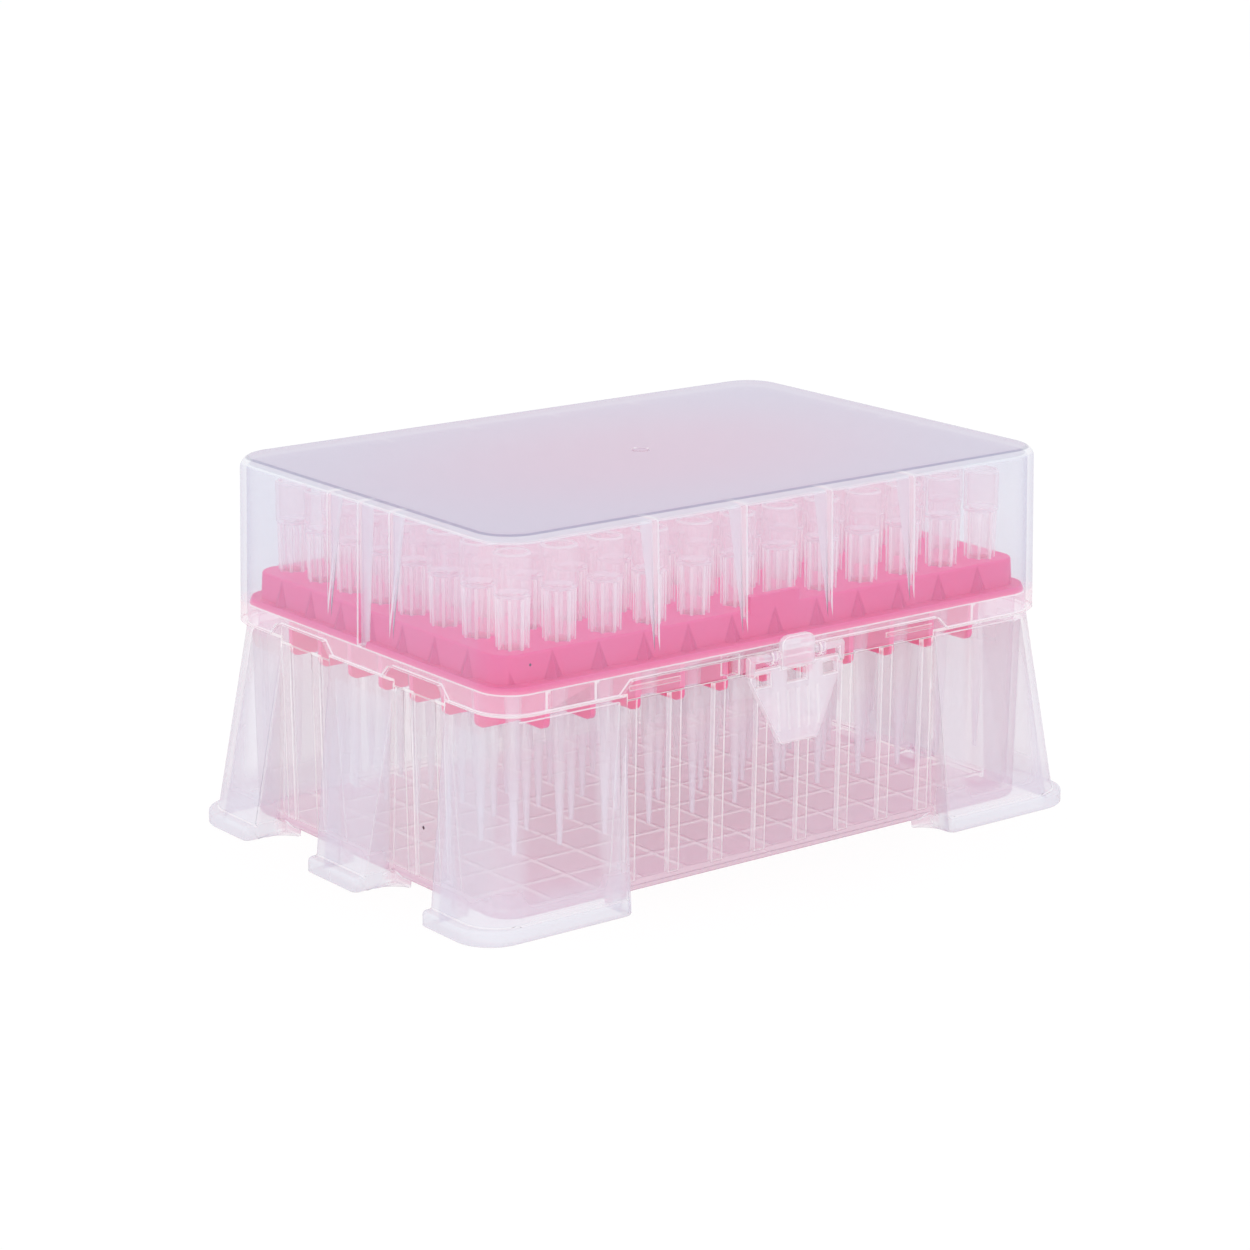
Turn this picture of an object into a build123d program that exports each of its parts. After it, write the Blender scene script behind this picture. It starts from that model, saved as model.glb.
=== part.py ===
from build123d import *
import math
import os

# A hinged box holding a rack of 96 pipette tips. Millimetres, +Z up, z = 0 on the table.
# X runs along the box, Y from its front to its back. The origin is under the middle of the tip grid.

os.makedirs("parts", exist_ok=True)

# Tip grid
PITCH = 9.0
TIP_COLUMNS = 12
TIP_ROWS = 8

# Footprint: the standard plate outline that the feet fill
FOOT_HALF_X = 63.88
FOOT_HALF_Y = 42.74
FOOT_RADIUS = 6.9
FOOT_LIP_TOP = 2.6
FOOT_LIP_ROUND = 0.7
FOOT_LIP_END_ROUND = 1.2
FOOT_LIP_BAY_ROUND = 5.0

# Thickness of the moulded walls, and how far a joined solid reaches into its neighbour
WALL = 1.1
BITE = 0.2

# Tub of the base
TUB_BOTTOM = 1.5
TUB_HALF_X = 56.2
TUB_HALF_Y = 37.5
TUB_RADIUS = 5.2
TUB_DRAFT = 0.95
TUB_EDGE_ROUND = 1.2
FLOOR_TOP = 2.8
FLOOR_RIB_WIDTH = 0.7
FLOOR_RIB_HEIGHT = 0.5

# Rim round the top of the tub
RIM_BOTTOM = 34.2
RIM_TOP = 38.6
RIM_HALF_X = 57.0
RIM_HALF_Y = 38.7
RIM_RADIUS = 5.8
LEDGE_NEAR = 22.0
LEDGE_FAR = 32.0
LEDGE_PROUD = 0.6
LEDGE_Z = (35.9, 36.4)
TICK_X = (-48.0, -38.5, 41.5)
TICK_WIDTH = 0.6
TICK_PROUD = 0.15
TICK_Z = (35.4, 38.3)
SLOT_X = (-12.0, -9.8)
SLOT_Z = (34.6, 38.0)

# Foot columns: hollow buttresses outside the tub, with open bays between them
COLUMN_LOW_X = 62.45
COLUMN_LOW_Y = 42.4
COLUMN_TOP = 35.2
COLUMN_TOP_X = 57.3
COLUMN_TOP_Y = 39.1
COLUMN_RADIUS = 6.6
COLUMN_END_ROUND = 1.2
COLUMN_HOLLOW_TOP = 34.1
FRONT_BAY_HALF = 34.2
SIDE_BAY_NEAR = 7.2
SIDE_BAY_FAR = 26.0
FRONT_BAY_DRAFT = 1.9
SIDE_BAY_DRAFT = 2.6

# Upright strips on the tub's wall in the bays, one beside each tip
STRIP_WIDTH = 2.7
STRIP_PROUD = 0.45
STRIP_BOTTOM = 3.5
STRIP_LEAN = math.tan(math.radians(TUB_DRAFT))

# Lid
LID_BOTTOM = 35.5
LID_TOP = 64.0
LID_HALF_X = 58.5
LID_HALF_Y = 40.3
LID_RADIUS = 7.9
LID_DRAFT = 1.1
LID_EDGE_ROUND = 2.0
LID_PLATE = 1.2
SKIRT_STEP = 37.7
SKIRT_SLOPE = 2.2
SKIRT_FRONT_IN = 1.9
SKIRT_SIDE_IN = 2.6
LID_LEAN = math.tan(math.radians(LID_DRAFT))
GUSSET_FOOT = 40.3
LONG_GUSSET_X = (-3 * PITCH, -PITCH, PITCH, 3 * PITCH)
LONG_GUSSET_DEPTH = 3.9
SHORT_GUSSET_DEPTH = 2.7
MIDDLE_GUSSET_FOOT = 38.9
MIDDLE_GUSSET_FOOT_DEPTH = 1.86
GUSSET_THICKNESS = 1.0
GATE_RADIUS = 1.6
GATE_DEPTH = 0.3
LUG_HALF = 1.7
LUG_PROUD = 0.32
LUG_Z = (37.9, 38.8)

# Rack
DECK_TOP = 44.2
DECK_THICKNESS = 1.2
RACK_HALF_X = 54.86
RACK_HALF_Y = 35.79
RACK_RADIUS = 3.6
RACK_DRAFT = 3.5
RACK_LEAN = math.tan(math.radians(RACK_DRAFT))
RACK_FLANGE_THICKNESS = 1.0
RACK_DECK_ROUND = 0.5
RACK_FLANGE_SLOPE = 20.0
WEDGE_WIDTH = 3.8
WEDGE_DEPTH = 1.1
NOTCH_HALF = 0.9
NOTCH_FLOOR_X = 55.17
PANEL_HALF = 5.2
PANEL_TOP = 46.3
RACK_RIB_BOTTOM = 30.7
RACK_RIB_THICKNESS = 1.0
RACK_RIB_END_X = 53.4
RACK_RIB_END_Y = 34.4
RACK_RIB_ROUND = 1.2
TIP_HOLE_RADIUS = 2.0

# Tip
TIP_MOUTH = 59.6
TIP_LEDGE = 52.5
TIP_END = 10.2
TIP_BARREL_RADIUS = 3.0
TIP_BORE_RADIUS = 2.4
TIP_FLUTES = 8
TIP_FLUTE_THICKNESS = 0.5

# Hinge at the back
HINGE_Y = 41.0
HINGE_Z = 36.0
HINGE_X = 26.0
HINGE_CUP_HALF = 4.0
HINGE_GAP = 0.3
HINGE_ARM_THICKNESS = 1.8
HINGE_PIN_RADIUS = 1.05
HINGE_BORE_RADIUS = 1.12
HINGE_CUP_RADIUS = 1.7
HINGE_HEEL = 1.7
HINGE_ARM_TOP = 42.5
HINGE_WINDOW_TOP = 38.6

# Latch at the front
LATCH_Y = -41.25
LATCH_Z = 37.4
LATCH_BAR_RADIUS = 0.65
LATCH_CRADLE_BORE = 0.72
LATCH_CRADLE_RADIUS = 1.35
LATCH_CRADLE_X = 5.1
LATCH_CRADLE_WIDTH = 1.4
LATCH_ARM_Z = (36.2, 37.3)
LATCH_BAR_HALF = 10.1
LATCH_SHOULDER = 35.6
LATCH_FOOT = 22.7
LATCH_HOOD_TOP = 40.5
LATCH_HOOD_HALF = 3.5
LATCH_HOOD_ROUND = 1.6
LATCH_PLATE_HALF = 9.8
LATCH_TAPER_FROM = 34.2
LATCH_FOOT_HALF = 3.9
LATCH_THICKNESS = 1.2
LATCH_WINDOW_Z = (32.7, 34.8)


def block(x, y, z):
    """A box from its low and high corners, each of x, y and z a pair."""
    size = [high - low for low, high in (x, y, z)]
    middle = [(high + low) / 2 for low, high in (x, y, z)]
    return Pos(*middle) * Box(*size)


def slab(half_x, half_y, radius, z_low, z_high, draft=0.0):
    """A rounded rectangle raised from z_low to z_high, narrowing upwards by the draft angle."""
    outline = Pos(0, 0, z_low) * RectangleRounded(2 * half_x, 2 * half_y, radius)
    return extrude(outline, z_high - z_low, taper=draft)


def grid(count):
    """Places of a row of tips about the middle of the box."""
    return [PITCH * (n - (count - 1) / 2) for n in range(count)]


def between(count):
    """Places half way between neighbouring tips of a row."""
    return [PITCH * (n - (count - 2) / 2) for n in range(count - 1)]


def flat_yz(points, x_low, x_high):
    """A plate with a polygon outline of (y, z) points, from x_low to x_high."""
    outline = make_face(Polyline(*[(x_low, y, z) for y, z in points], close=True))
    return extrude(outline, x_high - x_low, dir=(1, 0, 0))


def flat_xz(points, y_low, y_high):
    """A plate with a polygon outline of (x, z) points, from y_low to y_high."""
    outline = make_face(Polyline(*[(x, y_low, z) for x, z in points], close=True))
    return extrude(outline, y_high - y_low, dir=(0, 1, 0))


def rod(y, z, radius, x_low, x_high):
    """A round bar along X."""
    return Pos((x_low + x_high) / 2, y, z) * Rot(0, 90, 0) * Cylinder(radius, x_high - x_low)


# ---------------------------------------------------------------- base


def tub_outside():
    """The tub as a solid, with its bottom edge rounded."""
    tub = slab(TUB_HALF_X, TUB_HALF_Y, TUB_RADIUS, TUB_BOTTOM, RIM_TOP, -TUB_DRAFT)
    return fillet(tub.faces().sort_by(Axis.Z)[0].edges(), TUB_EDGE_ROUND)


def tub_inside():
    """The room inside the tub, above its floor."""
    half_x, half_y = TUB_HALF_X - WALL, TUB_HALF_Y - WALL
    room = slab(half_x, half_y, TUB_RADIUS - WALL, FLOOR_TOP, RIM_TOP + 1, -TUB_DRAFT)
    return fillet(room.faces().sort_by(Axis.Z)[0].edges(), TUB_EDGE_ROUND)


def column_block(inset):
    """The flared outside of the foot columns, moved inwards by inset."""
    low_x, high_x = COLUMN_LOW_X - inset, COLUMN_TOP_X - inset
    low_y, high_y = COLUMN_LOW_Y - inset, COLUMN_TOP_Y - inset
    low_z, high_z = -inset, COLUMN_TOP
    across = [(-low_x, low_z), (low_x, low_z), (high_x, high_z), (-high_x, high_z)]
    along = [(-low_y, low_z), (low_y, low_z), (high_y, high_z), (-high_y, high_z)]
    flared = flat_xz(across, -50, 50) & flat_yz(along, -70, 70)
    corners = flared.edges().filter_by(lambda edge: edge.bounding_box().size.Z > 20)
    return fillet(corners, COLUMN_RADIUS - inset)


def bay_outline(near, far, draft):
    """The outline of a bay from near to far at the table, closing by the draft at each end on its way up."""
    top_near, top_far = near + draft, far - draft
    return [(near, 0), (far, 0), (top_far, COLUMN_TOP), (top_near, COLUMN_TOP)]


def bays(inset):
    """The open bays between the columns, each widened by inset at both ends."""
    front = FRONT_BAY_HALF + inset
    room = flat_xz(bay_outline(-front, front, FRONT_BAY_DRAFT), -60, 60)
    for side in (-1, 1):
        outline = bay_outline(SIDE_BAY_NEAR - inset, SIDE_BAY_FAR + inset, SIDE_BAY_DRAFT)
        room += flat_yz([(side * across, up) for across, up in outline], -80, 80)
    return room


def is_column_end(edge):
    """Whether an edge is an upright one where a column meets a bay."""
    middle = edge.center()
    near, far = SIDE_BAY_NEAR + SIDE_BAY_DRAFT / 2, SIDE_BAY_FAR - SIDE_BAY_DRAFT / 2
    front = FRONT_BAY_HALF - FRONT_BAY_DRAFT / 2
    at_front = abs(abs(middle.X) - front) < 0.1 and abs(middle.Y) > COLUMN_TOP_Y - 1
    at_side = abs(middle.X) > COLUMN_TOP_X - 1 and (
        abs(abs(middle.Y) - near) < 0.1 or abs(abs(middle.Y) - far) < 0.1
    )
    return edge.bounding_box().size.Z > 20 and (at_front or at_side)


def foot_lip():
    """The lip round the feet, with the bays let into it in round corners, just under the tub's edge."""
    inner_x, inner_y = TUB_HALF_X - TUB_EDGE_ROUND, TUB_HALF_Y - TUB_EDGE_ROUND
    plan = RectangleRounded(2 * FOOT_HALF_X, 2 * FOOT_HALF_Y, FOOT_RADIUS)
    bay_x, bay_y = inner_x - BITE, inner_y - BITE
    for side in (-1, 1):
        plan = plan - Pos(0, side * 2 * bay_y) * Rectangle(2 * FRONT_BAY_HALF, 2 * bay_y)
        for end in (-1, 1):
            middle = end * (SIDE_BAY_NEAR + SIDE_BAY_FAR) / 2
            bay = Rectangle(2 * bay_x, SIDE_BAY_FAR - SIDE_BAY_NEAR)
            plan = plan - Pos(side * 2 * bay_x, middle) * bay
    inner = plan.vertices().filter_by(lambda v: abs(abs(v.X) - bay_x) < 0.1 or abs(abs(v.Y) - bay_y) < 0.1)
    plan = fillet(inner, FOOT_LIP_BAY_ROUND)
    plan = fillet(plan.vertices().filter_by(is_lip_end), FOOT_LIP_END_ROUND)
    lip = extrude(plan, FOOT_LIP_TOP)
    lip = fillet(lip.faces().sort_by(Axis.Z)[-1].edges(), FOOT_LIP_ROUND)
    return lip - slab(inner_x, inner_y, TUB_RADIUS - TUB_EDGE_ROUND, -1, FOOT_LIP_TOP + 1)


def is_lip_end(corner):
    """Whether a corner of the lip's plan is an outer one where a bay begins."""
    at_front = abs(abs(corner.Y) - FOOT_HALF_Y) < 0.1 and abs(abs(corner.X) - FRONT_BAY_HALF) < 0.1
    at_side = abs(abs(corner.X) - FOOT_HALF_X) < 0.1 and (
        abs(abs(corner.Y) - SIDE_BAY_NEAR) < 0.1 or abs(abs(corner.Y) - SIDE_BAY_FAR) < 0.1
    )
    return at_front or at_side


def feet():
    """The foot columns with their lip, hollow from below, up to the tub's wall."""
    columns = column_block(0) - bays(0)
    columns = fillet(columns.edges().filter_by(is_column_end), COLUMN_END_ROUND)
    columns = columns - slab(TUB_HALF_X, TUB_HALF_Y, TUB_RADIUS, -1, RIM_TOP)
    above_hollow = block((-80, 80), (-60, 60), (COLUMN_HOLLOW_TOP, 70))
    hollow = column_block(WALL) - bays(WALL) - above_hollow
    return columns + foot_lip() - hollow


def wall_lean(height):
    """How far the tub's wall has leaned out at a height."""
    return (height - TUB_BOTTOM) * STRIP_LEAN


def strip_profile(wall, side):
    """The side view of a strip on a wall of this half size, as points of (across, up)."""
    low, high = STRIP_BOTTOM, RIM_BOTTOM + BITE
    inside = side * (wall - WALL / 2)
    face_low = side * (wall + wall_lean(low) + STRIP_PROUD)
    face_high = side * (wall + wall_lean(high) + STRIP_PROUD)
    return [(inside, low), (face_low, low), (face_high, high), (inside, high)]


def strips():
    """The upright strips on the tub's wall in the bays."""
    half = STRIP_WIDTH / 2
    columns = [x for x in grid(TIP_COLUMNS) if abs(x) < FRONT_BAY_HALF - half]
    rows = [y for y in grid(TIP_ROWS) if SIDE_BAY_NEAR + half < abs(y) < SIDE_BAY_FAR - half]
    shape = []
    for side in (-1, 1):
        shape += [flat_yz(strip_profile(TUB_HALF_Y, side), x - half, x + half) for x in columns]
        shape += [flat_xz(strip_profile(TUB_HALF_X, side), y - half, y + half) for y in rows]
    return shape


def floor_ribs():
    """Low ribs that cross the floor between the tips."""
    height = (FLOOR_TOP - BITE, FLOOR_TOP + FLOOR_RIB_HEIGHT)
    half = FLOOR_RIB_WIDTH / 2
    end_x, end_y = TUB_HALF_X - 1.5 * WALL, TUB_HALF_Y - 1.5 * WALL
    ribs = [block((x - half, x + half), (-end_y, end_y), height) for x in between(TIP_COLUMNS)]
    ribs += [block((-end_x, end_x), (y - half, y + half), height) for y in between(TIP_ROWS)]
    return ribs


def rim_details():
    """Short ledges and small upright ticks on the front of the rim."""
    root = -RIM_HALF_Y + WALL / 2
    shape = []
    for side in (-1, 1):
        ledge = sorted((side * LEDGE_NEAR, side * LEDGE_FAR))
        shape.append(block(ledge, (-RIM_HALF_Y - LEDGE_PROUD, root), LEDGE_Z))
    for x in TICK_X:
        tick = (x - TICK_WIDTH / 2, x + TICK_WIDTH / 2)
        shape.append(block(tick, (-RIM_HALF_Y - TICK_PROUD, root), TICK_Z))
    return shape


def hinge_cup(x):
    """One open cup of the base that takes a pin of the lid."""
    low, high = x - HINGE_CUP_HALF, x + HINGE_CUP_HALF
    web_z = (HINGE_Z - HINGE_CUP_RADIUS, HINGE_Z + HINGE_CUP_RADIUS / 2)
    web = block((low, high), (RIM_HALF_Y - WALL / 2, HINGE_Y), web_z)
    cup = rod(HINGE_Y, HINGE_Z, HINGE_CUP_RADIUS, low, high) + web
    bore = rod(HINGE_Y, HINGE_Z, HINGE_BORE_RADIUS, low - 1, high + 1)
    half_mouth = 0.75 * HINGE_PIN_RADIUS
    mouth_y = (HINGE_Y - half_mouth, HINGE_Y + half_mouth)
    mouth = block((low - 1, high + 1), mouth_y, (HINGE_Z, HINGE_Z + 2 * HINGE_CUP_RADIUS))
    return cup - bore - mouth


def latch_cradle(x):
    """One upward-open cradle at the front of the rim that holds the latch's bar."""
    low, high = x - LATCH_CRADLE_WIDTH / 2, x + LATCH_CRADLE_WIDTH / 2
    arm = block((low, high), (LATCH_Y, -RIM_HALF_Y + WALL / 2), LATCH_ARM_Z)
    ring = rod(LATCH_Y, LATCH_Z, LATCH_CRADLE_RADIUS, low, high)
    bore = rod(LATCH_Y, LATCH_Z, LATCH_CRADLE_BORE, low - 1, high + 1)
    mouth_y = (LATCH_Y - LATCH_BAR_RADIUS, -RIM_HALF_Y)
    mouth = block((low - 1, high + 1), mouth_y, (LATCH_Z, LATCH_HOOD_TOP))
    return arm + ring - bore - mouth


def make_base():
    """The base: tub, rim, foot columns, hinge cups and latch cradles in one moulding."""
    shape = tub_outside() + slab(RIM_HALF_X, RIM_HALF_Y, RIM_RADIUS, RIM_BOTTOM, RIM_TOP)
    shape = shape + rim_details() + strips()
    shape = shape + feet()
    shape = shape - tub_inside()
    shape = shape + floor_ribs()
    shape = shape + [hinge_cup(side * HINGE_X) for side in (-1, 1)]
    shape = shape + [latch_cradle(side * LATCH_CRADLE_X) for side in (-1, 1)]
    return shape - block(SLOT_X, (-FOOT_HALF_Y, -TUB_HALF_Y + 2 * WALL), SLOT_Z)


# ---------------------------------------------------------------- lid


def lid_shell():
    """The cap: an open-bottomed shell with rounded top edges."""
    outside = slab(LID_HALF_X, LID_HALF_Y, LID_RADIUS, LID_BOTTOM, LID_TOP, LID_DRAFT)
    outside = fillet(outside.faces().sort_by(Axis.Z)[-1].edges(), LID_EDGE_ROUND)
    half_x, half_y = LID_HALF_X - WALL, LID_HALF_Y - WALL
    inside = slab(half_x, half_y, LID_RADIUS - WALL, LID_BOTTOM, LID_TOP - LID_PLATE, LID_DRAFT)
    inside = fillet(inside.faces().sort_by(Axis.Z)[-1].edges(), LID_EDGE_ROUND - WALL)
    return outside - inside


def skirt_steps():
    """What is cut from the skirt so that its edge steps up over the bays."""
    low, high = LID_BOTTOM - 1, SKIRT_STEP
    lean = SKIRT_SLOPE * (high - low) / (high - LID_BOTTOM)
    front = FRONT_BAY_HALF - SKIRT_FRONT_IN
    outline = [(-front - lean, low), (front + lean, low), (front, high), (-front, high)]
    cuts = [flat_xz(outline, -60, 60)]
    for side in (-1, 1):
        near, far = side * (SIDE_BAY_NEAR + SKIRT_SIDE_IN), side * (SIDE_BAY_FAR - SKIRT_SIDE_IN)
        outline = [(near - side * lean, low), (far + side * lean, low), (far, high), (near, high)]
        cuts.append(flat_yz(outline, -70, 70))
    return cuts


def lid_wall_at(half, height):
    """The inner face of the lid's wall at a height, from its half size at the bottom."""
    return half - WALL - (height - LID_BOTTOM) * LID_LEAN


def gusset_profile(half, depth, side):
    """The side view of a rib on a wall, nothing deep at its foot, as points of (across, up)."""
    top = LID_TOP - LID_PLATE + BITE
    wall_low, wall_high = lid_wall_at(half, GUSSET_FOOT), lid_wall_at(half, top)
    points = [(wall_low + BITE, GUSSET_FOOT), (wall_high + BITE, top), (wall_high - depth, top)]
    return [(side * across, up) for across, up in points]


def middle_gusset_profile(side):
    """The side view of the middle rib of an end wall, whose foot reaches down into the rack's flange."""
    top = LID_TOP - LID_PLATE + BITE
    wall_low, wall_high = lid_wall_at(LID_HALF_X, MIDDLE_GUSSET_FOOT), lid_wall_at(LID_HALF_X, top)
    points = [
        (wall_low + BITE, MIDDLE_GUSSET_FOOT),
        (wall_high + BITE, top),
        (wall_high - SHORT_GUSSET_DEPTH, top),
        (wall_low - MIDDLE_GUSSET_FOOT_DEPTH, MIDDLE_GUSSET_FOOT),
    ]
    return [(side * across, up) for across, up in points]


def gussets():
    """Thin ribs inside the lid's walls, each standing between two tips."""
    half = GUSSET_THICKNESS / 2
    shape = []
    for side in (-1, 1):
        profile = gusset_profile(LID_HALF_Y, LONG_GUSSET_DEPTH, side)
        shape += [flat_yz(profile, x - half, x + half) for x in LONG_GUSSET_X]
        profile = gusset_profile(LID_HALF_X, SHORT_GUSSET_DEPTH, side)
        shape += [flat_xz(profile, y - half, y + half) for y in (-PITCH, PITCH)]
        shape.append(flat_xz(middle_gusset_profile(side), -half, half))
    return shape


def hinge_arms(x):
    """The two arms of the lid at one hinge, with the pin between them and a square heel as a stop."""
    near = HINGE_CUP_HALF + HINGE_GAP
    far = near + HINGE_ARM_THICKNESS
    wall_y = LID_HALF_Y - WALL + 0.1
    outer_y = FOOT_HALF_Y - 0.04
    heel_z = HINGE_Z - HINGE_HEEL
    outline = [
        (wall_y, HINGE_Z),
        (HINGE_Y, HINGE_Z),
        (HINGE_Y, heel_z),
        (outer_y, heel_z),
        (outer_y, HINGE_Z + HINGE_CUP_RADIUS),
        (LID_HALF_Y - BITE, HINGE_ARM_TOP),
        (wall_y + BITE, HINGE_ARM_TOP),
    ]
    shape = [rod(HINGE_Y, HINGE_Z, HINGE_PIN_RADIUS, x - near - BITE, x + near + BITE)]
    for low, high in ((x - far, x - near), (x + near, x + far)):
        shape.append(rod(HINGE_Y, HINGE_Z, HINGE_Y - wall_y, low, high))
        shape.append(flat_yz(outline, low, high))
    return shape


def hinge_window(x):
    """What is cut from the back skirt over one hinge cup."""
    half = HINGE_CUP_HALF + HINGE_GAP
    return block((x - half, x + half), (LID_HALF_Y - 2 * WALL, 60), (LID_BOTTOM - 1, HINGE_WINDOW_TOP))


def catch_lug():
    """The small lug on the front wall under the hood of the latch."""
    root, face = -LID_HALF_Y + WALL / 2, -LID_HALF_Y - LUG_PROUD
    low, high = LUG_Z
    outline = [(root, low), (face, low), (face, high), (root, high + WALL)]
    return flat_yz(outline, -LUG_HALF, LUG_HALF)


def make_lid():
    """The lid: cap, ribs, hinge arms with their pins, catch lug and the dimple of its moulding gate."""
    shape = lid_shell() - skirt_steps()
    shape = shape - [hinge_window(side * HINGE_X) for side in (-1, 1)]
    shape = shape + gussets()
    shape = shape + hinge_arms(-HINGE_X) + hinge_arms(HINGE_X)
    shape = shape + catch_lug()
    return shape - Pos(0, 0, LID_TOP) * Cylinder(GATE_RADIUS, GATE_DEPTH)


# ---------------------------------------------------------------- rack


def wedge(x, y, out_x, out_y):
    """A thin upright wedge on the rack's wall, wide at the flange and pointed at the deck."""
    foot = RIM_TOP + RACK_FLANGE_THICKNESS - 0.1
    half = WEDGE_WIDTH / 2
    left = (x - half * out_y, y + half * out_x, foot)
    right = (x + half * out_y, y - half * out_x, foot)
    front = (x + WEDGE_DEPTH * out_x, y + WEDGE_DEPTH * out_y, foot)
    tip = (x - 0.3 * out_x, y - 0.3 * out_y, DECK_TOP - 0.1)
    corners = [(left, right, front), (left, front, tip), (right, front, tip), (left, right, tip)]
    sides = [Face(Wire.make_polygon(points, close=True)) for points in corners]
    return Solid(Shell(sides))


def rack_wedges():
    """Wedges between the tips, all round the rack's wall but for its two notches."""
    y_face, x_face = RACK_HALF_Y + 0.1, RACK_HALF_X + 0.1
    shape = []
    for side in (-1, 1):
        shape += [wedge(x, side * y_face, 0, side) for x in between(TIP_COLUMNS)]
        shape += [wedge(side * x_face, y, side, 0) for y in between(TIP_ROWS) if y]
    return shape


def flange_notch(side):
    """What is cut from the flange at one end for the lid's middle rib."""
    x = sorted((side * NOTCH_FLOOR_X, side * FOOT_HALF_X))
    return block(x, (-NOTCH_HALF, NOTCH_HALF), (RIM_TOP - 1, RIM_TOP + RACK_FLANGE_THICKNESS + 1))


def hanging_rib(x, y, across):
    """One rib plate between an x pair and a y pair, its lower end corners rounded."""
    plate = block(x, y, (RACK_RIB_BOTTOM, DECK_TOP - DECK_THICKNESS + 0.1))
    return fillet(plate.edges().filter_by(across).group_by(Axis.Z)[0], RACK_RIB_ROUND)


def rack_ribs():
    """The egg-crate of ribs that hangs under the deck, between the tips."""
    half = RACK_RIB_THICKNESS / 2
    neck = (RIM_TOP + 0.2, DECK_TOP - DECK_THICKNESS + 0.1)
    wall_x, wall_y = RACK_HALF_X - 0.5, RACK_HALF_Y - 0.5
    shape = []
    for x in between(TIP_COLUMNS):
        shape.append(hanging_rib((x - half, x + half), (-RACK_RIB_END_Y, RACK_RIB_END_Y), Axis.X))
        shape.append(block((x - half, x + half), (-wall_y, wall_y), neck))
    for y in between(TIP_ROWS):
        shape.append(hanging_rib((-RACK_RIB_END_X, RACK_RIB_END_X), (y - half, y + half), Axis.Y))
        shape.append(block((-wall_x, wall_x), (y - half, y + half), neck))
    return shape


def rack_wall():
    """The drafted wall with its deck, and the flange that lies on the rim, open from below."""
    grow = (DECK_TOP - RIM_TOP) * RACK_LEAN
    half_x, half_y, radius = RACK_HALF_X + grow, RACK_HALF_Y + grow, RACK_RADIUS + grow
    outside = slab(half_x, half_y, radius, RIM_TOP, DECK_TOP, RACK_DRAFT)
    outside = fillet(outside.faces().sort_by(Axis.Z)[-1].edges(), RACK_DECK_ROUND)
    flange_top = RIM_TOP + RACK_FLANGE_THICKNESS
    flange = slab(RIM_HALF_X - BITE, RIM_HALF_Y - BITE, RIM_RADIUS, RIM_TOP, flange_top, RACK_FLANGE_SLOPE)
    ceiling = DECK_TOP - DECK_THICKNESS
    inside = slab(half_x - WALL, half_y - WALL, radius - WALL, RIM_TOP, ceiling, RACK_DRAFT)
    return outside + flange - inside


def make_rack():
    """The rack: drilled deck, wall, wedges, hanging ribs and a raised plain panel at the front."""
    shape = rack_wall() + rack_ribs()
    shape = shape - [flange_notch(side) for side in (-1, 1)]
    shape = shape + rack_wedges()
    panel_y = (-RACK_HALF_Y - 0.15, -RACK_HALF_Y + WALL)
    shape = shape + block((-PANEL_HALF, PANEL_HALF), panel_y, (DECK_TOP - DECK_THICKNESS, PANEL_TOP))
    hole = Cylinder(TIP_HOLE_RADIUS, 10)
    holes = [Pos(x, y, DECK_TOP) * hole for x in grid(TIP_COLUMNS) for y in grid(TIP_ROWS)]
    return shape - holes


# ---------------------------------------------------------------- tips


def make_tip():
    """One tip: a barrel, fluted below its ledge, and a long hollow point."""
    outside = [
        (0, TIP_END),
        (0.38, TIP_END),
        (0.95, 24.0),
        (1.15, 31.0),
        (1.75, DECK_TOP),
        (2.1, TIP_LEDGE),
        (TIP_BARREL_RADIUS - 0.2, TIP_LEDGE),
        (TIP_BARREL_RADIUS, TIP_LEDGE + 0.3),
        (TIP_BARREL_RADIUS, TIP_MOUTH - 0.2),
        (TIP_BARREL_RADIUS - 0.2, TIP_MOUTH),
        (0, TIP_MOUTH),
    ]
    inside = [
        (0, TIP_END - 1),
        (0.2, TIP_END - 1),
        (0.6, 24.0),
        (0.75, 31.0),
        (1.35, DECK_TOP),
        (1.7, TIP_LEDGE),
        (TIP_BORE_RADIUS, TIP_LEDGE + 0.8),
        (TIP_BORE_RADIUS, TIP_MOUTH + 1),
        (0, TIP_MOUTH + 1),
    ]
    body = revolve(make_face(Plane.XZ * Polyline(*outside, close=True)), Axis.Z)
    bore = revolve(make_face(Plane.XZ * Polyline(*inside, close=True)), Axis.Z)
    half = TIP_FLUTE_THICKNESS / 2
    top = TIP_LEDGE + 0.1
    flute = flat_xz([(1.5, DECK_TOP), (2.65, DECK_TOP), (2.8, top), (1.5, top)], -half, half)
    flutes = [Rot(0, 0, n * 360 / TIP_FLUTES) * flute for n in range(TIP_FLUTES)]
    return body + flutes - bore


# ---------------------------------------------------------------- latch


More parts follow.
